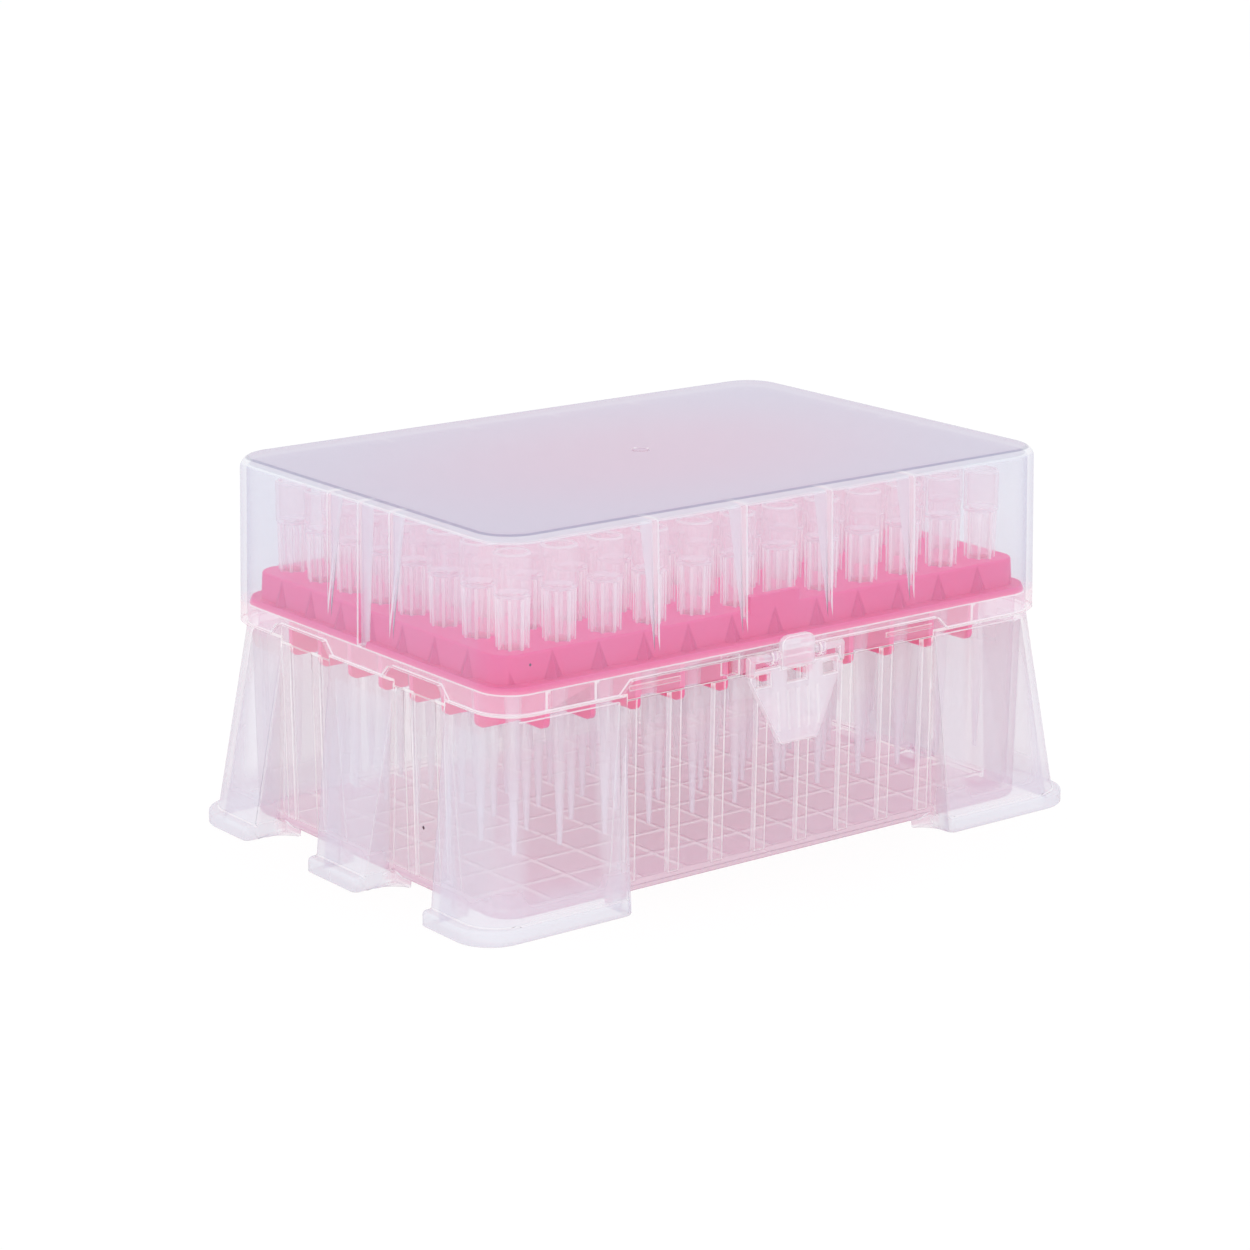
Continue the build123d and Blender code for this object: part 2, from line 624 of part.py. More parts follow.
def latch_plate():
    """The press plate: wide at its shoulder, narrow and further out at its foot."""
    top_y, foot_y = LATCH_Y + 0.85, LATCH_Y - 0.15
    face = [
        (-LATCH_PLATE_HALF, LATCH_SHOULDER),
        (LATCH_PLATE_HALF, LATCH_SHOULDER),
        (LATCH_PLATE_HALF, LATCH_TAPER_FROM),
        (LATCH_FOOT_HALF, LATCH_FOOT),
        (-LATCH_FOOT_HALF, LATCH_FOOT),
        (-LATCH_PLATE_HALF, LATCH_TAPER_FROM),
    ]
    side = [
        (top_y, LATCH_SHOULDER),
        (top_y - LATCH_THICKNESS, LATCH_SHOULDER),
        (foot_y - LATCH_THICKNESS, LATCH_FOOT),
        (foot_y, LATCH_FOOT),
    ]
    plate = flat_xz(face, -FOOT_HALF_Y, -RIM_HALF_Y) & flat_yz(side, -LATCH_PLATE_HALF, LATCH_PLATE_HALF)
    foot_corners = plate.edges().filter_by(lambda edge: edge.center().Z < LATCH_FOOT + 0.1)
    foot_corners = foot_corners.filter_by(lambda edge: abs(edge.center().X) > LATCH_FOOT_HALF - 0.1)
    return fillet(foot_corners, 0.8)


def latch_hood():
    """The hood in front of the lid's lug, with rounded top corners."""
    hood_y = (LATCH_Y - 0.85, LATCH_Y + 0.3)
    hood = block((-LATCH_HOOD_HALF, LATCH_HOOD_HALF), hood_y, (LATCH_SHOULDER - 0.5, LATCH_HOOD_TOP))
    return fillet(hood.edges().filter_by(Axis.Y).sort_by(Axis.Z)[-2:], LATCH_HOOD_ROUND)


def latch_ear(side):
    """The upright at one end of the bar, down to the plate."""
    x = sorted((side * (LATCH_BAR_HALF - 1.1), side * LATCH_BAR_HALF))
    return block(x, (LATCH_Y - 0.6, LATCH_Y + 0.6), (LATCH_SHOULDER - 0.9, LATCH_Z))


def make_latch():
    """The latch: a press plate below its bar, with three windows, and a hood above it."""
    through = (-FOOT_HALF_Y - 1, -RIM_HALF_Y)
    bar = rod(LATCH_Y, LATCH_Z, LATCH_BAR_RADIUS, -LATCH_BAR_HALF, LATCH_BAR_HALF)
    shape = latch_plate() + latch_hood() + bar + latch_ear(-1) + latch_ear(1)
    for side in (-1, 1):
        shape = shape - block(sorted((side * 5.6, side * 8.6)), through, LATCH_WINDOW_Z)
    return shape - block((-2.0, 2.0), through, LATCH_WINDOW_Z)


def write(shape, name):
    """Write one piece, or one group of like pieces, to its file."""
    if isinstance(shape, list):
        shape = Compound(children=shape)
    export_step(shape, f"parts/{name}.step")
    solids = shape.solids()
    print(name, len(solids), round(sum(solid.volume for solid in solids)), shape.is_valid)


def main():
    """Build every piece and write it."""
    write(make_base(), "base")
    write(make_lid(), "lid")
    write(make_rack(), "rack")
    write(make_latch(), "latch")
    tip = make_tip()
    rows = list(zip("hgfedcba", grid(TIP_ROWS)))
    for number, x in enumerate(grid(TIP_COLUMNS), 1):
        for near, far in zip(rows[::2], rows[1::2]):
            pair = [Pos(x, y, 0) * tip for _, y in (near, far)]
            write(pair, f"tips_{number:02d}_{far[0]}{near[0]}")


main()
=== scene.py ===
"""A hinged see-through box with a pink rack of pipette tips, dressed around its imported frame."""

import logging
import math
from dataclasses import dataclass, field
from enum import Enum

import bpy
from mathutils import Matrix, Vector


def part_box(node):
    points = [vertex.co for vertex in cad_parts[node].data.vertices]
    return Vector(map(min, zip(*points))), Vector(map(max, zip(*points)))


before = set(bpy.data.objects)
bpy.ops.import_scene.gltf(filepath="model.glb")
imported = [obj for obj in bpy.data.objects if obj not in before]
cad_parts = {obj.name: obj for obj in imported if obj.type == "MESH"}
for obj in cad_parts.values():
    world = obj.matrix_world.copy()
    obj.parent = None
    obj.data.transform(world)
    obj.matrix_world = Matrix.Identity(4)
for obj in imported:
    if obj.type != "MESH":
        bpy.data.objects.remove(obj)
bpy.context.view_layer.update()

LOG = logging.getLogger("tip_box")
MM = 0.001
TIP_PITCH = 9 * MM
PICTURE_SIDE = 1250
POLYPROPYLENE_IOR = 1.49

Socket = bpy.types.NodeSocket
Tree = bpy.types.NodeTree


class Node(Enum):
    """Shader node kinds that the finishes use."""

    OUTPUT = "ShaderNodeOutputMaterial"
    WORLD_OUTPUT = "ShaderNodeOutputWorld"
    BACKGROUND = "ShaderNodeBackground"
    PRINCIPLED = "ShaderNodeBsdfPrincipled"
    DIFFUSE = "ShaderNodeBsdfDiffuse"
    EMISSION = "ShaderNodeEmission"
    MIX_SHADER = "ShaderNodeMixShader"
    LAYER_WEIGHT = "ShaderNodeLayerWeight"
    LIGHT_PATH = "ShaderNodeLightPath"
    MATH = "ShaderNodeMath"
    VECTOR_MATH = "ShaderNodeVectorMath"
    MAP_RANGE = "ShaderNodeMapRange"
    MIX = "ShaderNodeMix"
    NOISE = "ShaderNodeTexNoise"
    BUMP = "ShaderNodeBump"
    COORDINATES = "ShaderNodeTexCoord"
    GEOMETRY = "ShaderNodeNewGeometry"
    SEPARATE = "ShaderNodeSeparateXYZ"


def linear(hex_code: str) -> tuple[float, float, float, float]:
    """Turn an sRGB hex colour into Blender's linear colour.

    Args:
        hex_code: Six hex digits, such as "EC70A0".

    Returns:
        Linear red, green and blue, with an alpha of 1.
    """
    channels = [int(hex_code[i : i + 2], 16) / 255 for i in (0, 2, 4)]
    curved = [c / 12.92 if c <= 0.04045 else ((c + 0.055) / 1.055) ** 2.4 for c in channels]
    return (*curved, 1.0)


def add_node(
    tree: Tree,
    kind: Node,
    settings: dict[str, object] | None = None,
    links: dict[str | int, object] | None = None,
) -> bpy.types.Node:
    """Add a node with its settings, socket values and links.

    Args:
        tree: The tree that takes the node.
        kind: Which node it is.
        settings: Attributes of the node itself, such as operation.
        links: A value or an output socket for each named or numbered input.

    Returns:
        The new node.
    """
    node = tree.nodes.new(kind.value)
    for name, value in (settings or {}).items():
        setattr(node, name, value)
    for name, value in (links or {}).items():
        if isinstance(value, Socket):
            tree.links.new(value, node.inputs[name])
        else:
            node.inputs[name].default_value = value
    return node


def blank_material(name: str) -> tuple[bpy.types.Material, Tree]:
    """Make a material with an empty node tree.

    Args:
        name: The material's name.

    Returns:
        The material and its tree.
    """
    material = bpy.data.materials.new(name)
    material.use_nodes = True
    material.node_tree.nodes.clear()
    return material, material.node_tree


@dataclass(frozen=True)
class Zone:
    """A part of a moulding that reads thicker or thinner, alike at both ends and at front and back.

    Its corners are distances from the middle planes and heights over the table, in mm. A folded distance is
    counted from between two tips, for what repeats with them, and its span then says between which
    distances it does. The lean is how much it narrows in each direction for each mm of height. A one-sided
    zone is measured with its sign, so it has no twin across the middle.
    """

    low: tuple[float, float, float]
    high: tuple[float, float, float]
    haze: float
    tone: str
    soft: float = 0.25
    fold: tuple[bool, bool] = (False, False)
    lean: tuple[float, float] = (0.0, 0.0)
    span: tuple[float, float] = (0.0, 99.0)
    one_sided: bool = False

    def mask(self, tree: Tree) -> Socket:
        """Tell the zone from the rest.

        Args:
            tree: The material's tree.

        Returns:
            1 inside the zone and 0 outside.
        """
        spot = add_node(tree, Node.COORDINATES).outputs["Object"]
        if any(self.fold):
            wide, deep = (TIP_PITCH / 2 if folded else 1.0 for folded in self.fold)
            limits = (wide, deep, 1.0)
            turned = add_node(
                tree,
                Node.VECTOR_MATH,
                {"operation": "WRAP"},
                {0: spot, 1: limits, 2: tuple(-limit for limit in limits)},
            )
            spot = turned.outputs[0]
        low, high = (Vector(corner) * MM for corner in (self.low, self.high))
        near = spot
        if not self.one_sided:
            near = add_node(tree, Node.VECTOR_MATH, {"operation": "ABSOLUTE"}, {0: spot}).outputs[0]
        if any(self.lean):
            height = add_node(tree, Node.SEPARATE, links={0: near}).outputs[2]
            risen = add_node(tree, Node.MATH, {"operation": "SUBTRACT"}, {0: height, 1: low.z})
            narrowed = add_node(
                tree,
                Node.VECTOR_MATH,
                {"operation": "SCALE"},
                {0: (*self.lean, 0.0), "Scale": risen.outputs[0]},
            )
            near = add_node(
                tree, Node.VECTOR_MATH, {"operation": "ADD"}, {0: near, 1: narrowed.outputs[0]}
            ).outputs[0]
        off = add_node(tree, Node.VECTOR_MATH, {"operation": "SUBTRACT"}, {0: near, 1: (low + high) / 2})
        reach = add_node(tree, Node.VECTOR_MATH, {"operation": "ABSOLUTE"}, {0: off.outputs[0]})
        beyond = add_node(
            tree, Node.VECTOR_MATH, {"operation": "SUBTRACT"}, {0: reach.outputs[0], 1: (high - low) / 2}
        )
        parts = add_node(tree, Node.SEPARATE, links={0: beyond.outputs[0]})
        level = add_node(
            tree, Node.MATH, {"operation": "MAXIMUM"}, {0: parts.outputs[0], 1: parts.outputs[1]}
        )
        most = add_node(
            tree, Node.MATH, {"operation": "MAXIMUM"}, {0: level.outputs[0], 1: parts.outputs[2]}
        )
        inside = add_node(
            tree,
            Node.MAP_RANGE,
            links={
                "Value": most.outputs[0],
                "From Min": -self.soft * MM,
                "From Max": self.soft * MM,
                "To Min": 1.0,
                "To Max": 0.0,
            },
        )
        if not any(self.fold):
            return inside.outputs[0]
        return self.spanned(tree, inside.outputs[0])

    def spanned(self, tree: Tree, inside: Socket) -> Socket:
        """Keep a repeating mask only within its span.

        Args:
            tree: The material's tree.
            inside: The mask.

        Returns:
            The mask, 0 outside the span.
        """
        place = add_node(tree, Node.COORDINATES)
        whole = add_node(
            tree, Node.VECTOR_MATH, {"operation": "ABSOLUTE"}, {0: place.outputs["Object"]}
        )
        parts = add_node(tree, Node.SEPARATE, links={0: whole.outputs[0]})
        near, far = (edge * MM for edge in self.span)
        within = add_node(
            tree,
            Node.MATH,
            {"operation": "COMPARE"},
            {0: parts.outputs[self.fold.index(True)], 1: (near + far) / 2, 2: (far - near) / 2},
        )
        kept = add_node(tree, Node.MATH, {"operation": "MULTIPLY"}, {0: inside, 1: within.outputs[0]})
        return kept.outputs[0]


@dataclass(frozen=True)
class Ring:
    """A shell round the axis of every tip, between two radii and two heights in mm."""

    radii: tuple[float, float]
    heights: tuple[float, float]
    haze: float
    tone: str

    def mask(self, tree: Tree) -> Socket:
        """Tell the shell from the rest.

        Args:
            tree: The material's tree.

        Returns:
            1 in the shell and 0 outside.
        """
        spot = add_node(tree, Node.COORDINATES).outputs["Object"]
        half = TIP_PITCH / 2
        turned = add_node(
            tree,
            Node.VECTOR_MATH,
            {"operation": "WRAP"},
            {0: spot, 1: (half, half, 1.0), 2: (-half, -half, -1.0)},
        )
        near = add_node(tree, Node.VECTOR_MATH, {"operation": "ABSOLUTE"}, {0: turned.outputs[0]})
        off = add_node(
            tree, Node.VECTOR_MATH, {"operation": "SUBTRACT"}, {0: near.outputs[0], 1: (half, half, 0.0)}
        )
        level = add_node(
            tree, Node.VECTOR_MATH, {"operation": "MULTIPLY"}, {0: off.outputs[0], 1: (1.0, 1.0, 0.0)}
        )
        radius = add_node(tree, Node.VECTOR_MATH, {"operation": "LENGTH"}, {0: level.outputs[0]})
        height = add_node(tree, Node.SEPARATE, links={0: spot})
        within = [
            add_node(
                tree,
                Node.MATH,
                {"operation": "COMPARE"},
                {0: value, 1: (low + high) / 2 * MM, 2: (high - low) / 2 * MM},
            )
            for value, (low, high) in (
                (radius.outputs["Value"], self.radii),
                (height.outputs[2], self.heights),
            )
        ]
        both = add_node(
            tree, Node.MATH, {"operation": "MULTIPLY"}, {0: within[0].outputs[0], 1: within[1].outputs[0]}
        )
        return both.outputs[0]


@dataclass(frozen=True)
class Speck:
    """A tiny dark grain caught in the plastic, its place and radius in mm."""

    place: tuple[float, float, float]
    radius: float
    tone: str = "4A2A3C"
    core: float = 0.6

    def mask(self, tree: Tree) -> Socket:
        """Tell the grain from the plastic around it.

        Args:
            tree: The material's tree.

        Returns:
            1 on the grain and 0 around it.
        """
        spot = add_node(tree, Node.COORDINATES)
        gap = add_node(
            tree,
            Node.VECTOR_MATH,
            {"operation": "DISTANCE"},
            {0: spot.outputs["Object"], 1: Vector(self.place) * MM},
        )
        inside = add_node(
            tree,
            Node.MAP_RANGE,
            links={
                "Value": gap.outputs["Value"],
                "From Min": self.core * self.radius * MM,
                "From Max": self.radius * MM,
                "To Min": 1.0,
                "To Max": 0.0,
            },
        )
        return inside.outputs[0]


@dataclass(frozen=True)
class ClearPolypropylene:
    """Clear polypropylene moulded in a polished tool.

    A faint milky haze hangs in it, a little uneven from place to place. A wall seen along its length is seen
    through more of it, so rims, ribs and rounded edges read as pale lines and a flat wall stays see-through.
    The tone is its colour face on and the graze tone its colour along its length.
    """

    name: str
    haze: float
    graze: float
    power: float
    tone: str
    graze_tone: str
    roughness: float = 0.14
    zones: tuple[Zone | Ring, ...] = ()
    specks: tuple[Speck, ...] = ()
    cloud_size: float = 14 * MM
    unevenness: float = 0.3

    def build(self) -> bpy.types.Material:
        """Build the material.

        Returns:
            The finished material.
        """
        material, tree = blank_material(self.name)
        facing = add_node(tree, Node.LAYER_WEIGHT, links={"Blend": 0.5})
        slant = add_node(
            tree, Node.MATH, {"operation": "POWER"}, {0: facing.outputs["Facing"], 1: self.power}
        ).outputs[0]
        opacity, tint = self.plain(tree, slant)
        for zone in self.zones:
            hazed = self.thicken(tree, slant, zone.haze)
            mask = zone.mask(tree)
            opacity = self.swap(tree, mask, opacity, hazed)
            tint = self.repaint(tree, mask, tint, zone.tone)
        for speck in self.specks:
            mask = speck.mask(tree)
            opacity = self.swap(tree, mask, opacity, 1.0)
            tint = self.repaint(tree, mask, tint, speck.tone)
        shader = add_node(
            tree,
            Node.PRINCIPLED,
            links={
                "Base Color": tint,
                "Roughness": self.roughness,
                "IOR": POLYPROPYLENE_IOR,
                "Alpha": opacity,
            },
        )
        add_node(tree, Node.OUTPUT, links={"Surface": shader.outputs[0]})
        return material

    def thicken(self, tree: Tree, slant: Socket, haze: float | Socket) -> Socket:
        """Add to a haze what a slanting view adds.

        Args:
            tree: The material's tree.
            slant: 0 where the skin is seen face on and 1 along its length.
            haze: How much the skin hides when it is seen face on.

        Returns:
            The opacity, from 0 to 1.
        """
        whole = add_node(
            tree,
            Node.MATH,
            {"operation": "MULTIPLY_ADD", "use_clamp": True},
            {0: slant, 1: self.graze, 2: haze},
        )
        return whole.outputs[0]

    def swap(self, tree: Tree, mask: Socket, outside: Socket, inside: float | Socket) -> Socket:
        """Take one opacity outside a mask and another inside it.

        Args:
            tree: The material's tree.
            mask: 1 inside and 0 outside.
            outside: The opacity outside.
            inside: The opacity inside.

        Returns:
            The opacity.
        """
        mixed = add_node(tree, Node.MIX, {"data_type": "FLOAT"}, {0: mask, 2: outside, 3: inside})
        return mixed.outputs[0]

    def repaint(self, tree: Tree, mask: Socket, outside: Socket, tone: str) -> Socket:
        """Take one colour outside a mask and a tone inside it.

        Args:
            tree: The material's tree.
            mask: 1 inside and 0 outside.
            outside: The colour outside.
            tone: The colour inside.

        Returns:
            The colour.
        """
        mixed = add_node(tree, Node.MIX, {"data_type": "RGBA"}, {0: mask, 6: outside, 7: linear(tone)})
        return mixed.outputs[2]

    def plain(self, tree: Tree, slant: Socket) -> tuple[Socket, Socket]:
        """Give the skin outside every zone its uneven haze and its tone.

        Args:
            tree: The material's tree.
            slant: 0 where the skin is seen face on and 1 along its length.

        Returns:
            The opacity and the colour.
        """
        place = add_node(tree, Node.COORDINATES)
        cloud = add_node(
            tree,
            Node.NOISE,
            links={"Vector": place.outputs["Object"], "Scale": 1 / self.cloud_size, "Detail": 2.0},
        )
        haze = add_node(
            tree,
            Node.MAP_RANGE,
            links={
                "Value": cloud.outputs[0],
                "To Min": self.haze * (1 - self.unevenness),
                "To Max": self.haze * (1 + self.unevenness),
            },
        )
        mixed = add_node(
            tree,
            Node.MIX,
            {"data_type": "RGBA"},
            {0: slant, 6: linear(self.tone), 7: linear(self.graze_tone)},
        )
        return self.thicken(tree, slant, haze.outputs[0]), mixed.outputs[2]


@dataclass(frozen=True)
class LidPolypropylene(ClearPolypropylene):
    """The lid's clear polypropylene, with a fine matt grain moulded into its top, so the top looks milky.

    Where the skin turns over from wall to top, a painted highlight and then a thin painted dark line stand
    in for the light and shade of the rounded edge. Each of the three spans says between which slopes the
    painted highlight, the painted dark line and the top begin, from 0 upright to 1 level.
    """

    top_depth: float = 3 * MM
    # The painted highlight and the painted dark line of the rounded top edge.
    painted_highlight_span: tuple[float, float] = (0.35, 0.5)
    painted_shade_line_span: tuple[float, float] = (0.82, 0.88)
    top_span: tuple[float, float] = (0.95, 0.985)
    field_span: tuple[float, float] = (0.15, 1.15)
    painted_highlight_haze: float = 0.45
    painted_shade_line_haze: float = 0.6
    top_haze: float = 0.62
    top_tone: str = "C4BCD4"
    # Painted glow: the rack's pink light coming up through the middle of the matt top.
    painted_rack_glow_tone: str = "CDB6CE"
    painted_shade_line_tone: str = "9C9EB8"
    painted_highlight_tone: str = "EEF2FA"

    def band(self, tree: Tree, upward: Socket, span: tuple[float, float]) -> Socket:
        """Rise from 0 to 1 as the skin turns level, near the top only.

        Args:
            tree: The material's tree.
            upward: How far the skin faces up or down, from 0 to 1.
            span: Where the rise begins and where it is complete.

        Returns:
            The rise.
        """
        low, high = span
        rise = add_node(tree, Node.MAP_RANGE, links={"Value": upward, "From Min": low, "From Max": high})
        place = add_node(tree, Node.COORDINATES)
        spot = add_node(tree, Node.SEPARATE, links={0: place.outputs["Object"]})
        near_top = add_node(
            tree,
            Node.MATH,
            {"operation": "GREATER_THAN"},
            {0: spot.outputs[2], 1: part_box("lid")[1].z - self.top_depth},
        )
        kept = add_node(
            tree, Node.MATH, {"operation": "MULTIPLY"}, {0: rise.outputs[0], 1: near_top.outputs[0]}
        )
        return kept.outputs[0]

    def top_field(self, tree: Tree) -> Socket:
        """Mix the top's colour: cool at its rim and pinker in the middle, a painted glow of the rack's pink
        light below.

        Args:
            tree: The material's tree.

        Returns:
            The colour.
        """
        place = add_node(tree, Node.COORDINATES)
        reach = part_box("lid")[1]
        shrunk = add_node(
            tree,
            Node.VECTOR_MATH,
            {"operation": "MULTIPLY"},
            {0: place.outputs["Object"], 1: (1 / reach.x, 1 / reach.y, 0.0)},
        )
        far = add_node(tree, Node.VECTOR_MATH, {"operation": "LENGTH"}, {0: shrunk.outputs[0]})
        inner, outer = self.field_span
        outward = add_node(
            tree,
            Node.MAP_RANGE,
            {"interpolation_type": "SMOOTHSTEP"},
            {"Value": far.outputs["Value"], "From Min": inner, "From Max": outer},
        )
        field_tone = add_node(
            tree,
            Node.MIX,
            {"data_type": "RGBA"},
            {0: outward.outputs[0], 6: linear(self.painted_rack_glow_tone), 7: linear(self.top_tone)},
        )
        return field_tone.outputs[2]

    def plain(self, tree: Tree, slant: Socket) -> tuple[Socket, Socket]:
        """Give the walls their haze, the top its milky field and the rounded edge its painted light and
        shade.

        Args:
            tree: The material's tree.
            slant: 0 where the skin is seen face on and 1 along its length.

        Returns:
            The opacity and the colour.
        """
        opacity, tint = ClearPolypropylene.plain(self, tree, slant)
        surface = add_node(tree, Node.GEOMETRY)
        normal = add_node(tree, Node.SEPARATE, links={0: surface.outputs["Normal"]})
        upward = add_node(tree, Node.MATH, {"operation": "ABSOLUTE"}, {0: normal.outputs[2]}).outputs[0]
        # Painted highlight, then painted dark line, where the lid's top edge rounds over.
        glint = self.band(tree, upward, self.painted_highlight_span)
        opacity = self.swap(tree, glint, opacity, self.painted_highlight_haze)
        tint = self.repaint(tree, glint, tint, self.painted_highlight_tone)
        line = self.band(tree, upward, self.painted_shade_line_span)
        opacity = self.swap(tree, line, opacity, self.painted_shade_line_haze)
        tint = self.repaint(tree, line, tint, self.painted_shade_line_tone)
        top = self.band(tree, upward, self.top_span)
        matt = add_node(
            tree,
            Node.MATH,
            {"operation": "MULTIPLY_ADD", "use_clamp": True},
            {0: slant, 1: 1 - self.top_haze, 2: self.top_haze},
        )
        opacity = self.swap(tree, top, opacity, matt.outputs[0])
        mixed = add_node(tree, Node.MIX, {"data_type": "RGBA"}, {0: top, 6: tint, 7: self.top_field(tree)})
        return opacity, mixed.outputs[2]


@dataclass(frozen=True)
class PinkPolypropylene:
    """Pink polypropylene, moulded and slightly translucent: an even satin pink that glows at thin edges.

    The flow of the melt shows as faint drifts between two pinks, and a fine grain breaks up its gloss. It
    passes half the light that isn't on its way to the eye, so the tips' bores and the tub below stay light.
    """

    name: str = "moulded_pink_polypropylene"
    tone: str = "F9629B"
    flow_tone: str = "F55E97"
    roughness: float = 0.42
    flow_size: float = 18 * MM
    grain_size: float = 0.8 * MM
    grain_strength: float = 0.05
    grain_depth: float = 0.05 * MM
    glow: float = 0.3
    glow_reach: tuple[float, float, float] = (0.9, 0.35, 0.55)
    glow_depth: float = 1.4 * MM
    speck: Speck = Speck((-49.34, -36.0, 42.3), 0.3)
    # Painted shade: darker pink triangles on the rack's outer ribs, for the shaded sides of the ribs.
    painted_wedge_shades: tuple[Zone, ...] = (
        Zone((-1.8, 35.5, 39.6), (1.8, 37.4, 43.9), 0, "E84A88", 0.1, (True, False), (0.4, 0.0)),
        Zone((54.6, -1.8, 39.6), (56.5, 1.8, 43.9), 0, "E84A88", 0.1, (False, True), (0.0, 0.4)),
    )
    passed_on: float = 0.5

    def build(self) -> bpy.types.Material:
        """Build the material.

        Returns:
            The finished material.
        """
        material, tree = blank_material(self.name)
        place = add_node(tree, Node.COORDINATES)
        flow = add_node(
            tree,
            Node.NOISE,
            links={"Vector": place.outputs["Object"], "Scale": 1 / self.flow_size, "Detail": 2.0},
        )
        tone = add_node(
            tree,
            Node.MIX,
            {"data_type": "RGBA"},
            {0: flow.outputs[0], 6: linear(self.tone), 7: linear(self.flow_tone)},
        )
        tint = tone.outputs[2]
        # The painted wedge shade and the real dark speck are mixed into the pink.
        for mark in (*self.painted_wedge_shades, self.speck):
            mixed = add_node(
                tree, Node.MIX, {"data_type": "RGBA"}, {0: mark.mask(tree), 6: tint, 7: linear(mark.tone)}
            )
            tint = mixed.outputs[2]
        grain = add_node(
            tree,
            Node.NOISE,
            links={"Vector": place.outputs["Object"], "Scale": 1 / self.grain_size, "Detail": 2.0},
        )
        bump = add_node(
            tree,
            Node.BUMP,
            links={
                "Strength": self.grain_strength,
                "Distance": self.grain_depth,
                "Height": grain.outputs[0],
            },
        )
        path = add_node(tree, Node.LIGHT_PATH)
        solid = add_node(
            tree,
            Node.MAP_RANGE,
            links={"Value": path.outputs["Is Camera Ray"], "To Min": 1 - self.passed_on, "To Max": 1.0},
        )
        shader = add_node(
            tree,
            Node.PRINCIPLED,
            links={
                "Base Color": tint,
                "Alpha": solid.outputs[0],
                "Roughness": self.roughness,
                "IOR": POLYPROPYLENE_IOR,
                "Subsurface Weight": self.glow,
                "Subsurface Radius": self.glow_reach,
                "Subsurface Scale": self.glow_depth,
                "Normal": bump.outputs[0],
            },
        )
        add_node(tree, Node.OUTPUT, links={"Surface": shader.outputs[0]})
        return material


@dataclass(frozen=True)
class EdgeRound:
    """The small radius that a mould leaves on every corner, whose bright line of gathered light is a painted
    highlight.

    Corners sharper than one angle are rounded, and shading stops at corners above the other, all in degrees.
    """

    width: float
    sharper_than: float = 30.0
    split_above: float = 50.0
    flat_within: float = 0.6
    weld_gap: float = 0.01 * MM

    def add_to(self, piece: bpy.types.Object, slot: int) -> None:
        """Round the corners of a piece.

        Args:
            piece: The piece.
            slot: The material slot that the rounded corners take.
        """
        weld = piece.modifiers.new("weld", "WELD")
        weld.merge_threshold = self.weld_gap
        merge = piece.modifiers.new("merge_flats", "DECIMATE")
        merge.decimate_type = "DISSOLVE"
        merge.angle_limit = math.radians(self.flat_within)
        bevel = piece.modifiers.new("edge_round", "BEVEL")
        bevel.width = self.width
        bevel.segments = 1
        bevel.limit_method = "ANGLE"
        bevel.angle_limit = math.radians(self.sharper_than)
        bevel.use_clamp_overlap = False
        bevel.material = slot
        split = piece.modifiers.new("part_sharp_corners", "EDGE_SPLIT")
        split.use_edge_sharp = False
        split.split_angle = math.radians(self.split_above)
        even = piece.modifiers.new("even_shading", "WEIGHTED_NORMAL")
        even.keep_sharp = False


def dress(node: str, *materials: bpy.types.Material, clear: bool = True) -> bpy.types.Object:
    """Give a CAD node its finish.

    Args:
        node: The node's name.
        materials: What it is finished with, the skin first and the painted highlight of its rounded edges
            next.
        clear: Whether light goes through it to what it holds, without a shadow.

    Returns:
        The node's object.
    """
    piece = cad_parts[node]
    piece.visible_shadow = not clear
    piece.visible_diffuse = not clear
    piece.data.materials.clear()
    for material in materials:
        piece.data.materials.append(material)
    LOG.info("%s is finished as %s", node, materials[0].name)
    return piece


@dataclass
class Lid:
    """The clear lid with its matt top and its wedge-shaped ribs."""

    edge_width: float = 0.2 * MM
    # Its pink tone is painted: the rack's pink light seen through the skirt's haze.
    skirt: Zone = Zone((0, 0, 30), (99, 99, 39.4), 0.17, "F8E4F2")
    front_ribs: Zone = Zone(
        (-1, 30, 39.9), (0.62, 38.6, 62.5), 0.42, "F6F0F8", 0.06, (True, False), span=(0, 30)
    )
    end_ribs: Zone = Zone(
        (50, -1, 38.5), (56.6, 0.62, 62.5), 0.42, "F6F0F8", 0.06, (False, True), span=(0, 12)
    )
    gate_edges: Zone = Zone((0, 0, 62), (5, 5, 70), 0.4, "E9D8E6", 0.5)

    def build(self) -> None:
        """Dress the lid and round its edges."""
        zones = (self.skirt, self.front_ribs, self.end_ribs)
        skin = LidPolypropylene(
            "moulded_clear_lid", 0.12, 0.55, 3.0, "BEC2E2", "D8D8EC", zones=zones
        ).build()
        # The rounded edges take a near-white painted highlight.
        edge = ClearPolypropylene(
            "lid_edge_painted_highlight", 0.75, 0.25, 2.0, "FAF6FC", "FFFFFF", zones=(self.gate_edges,)
        ).build()
        EdgeRound(self.edge_width).add_to(dress("lid", skin, edge), 1)


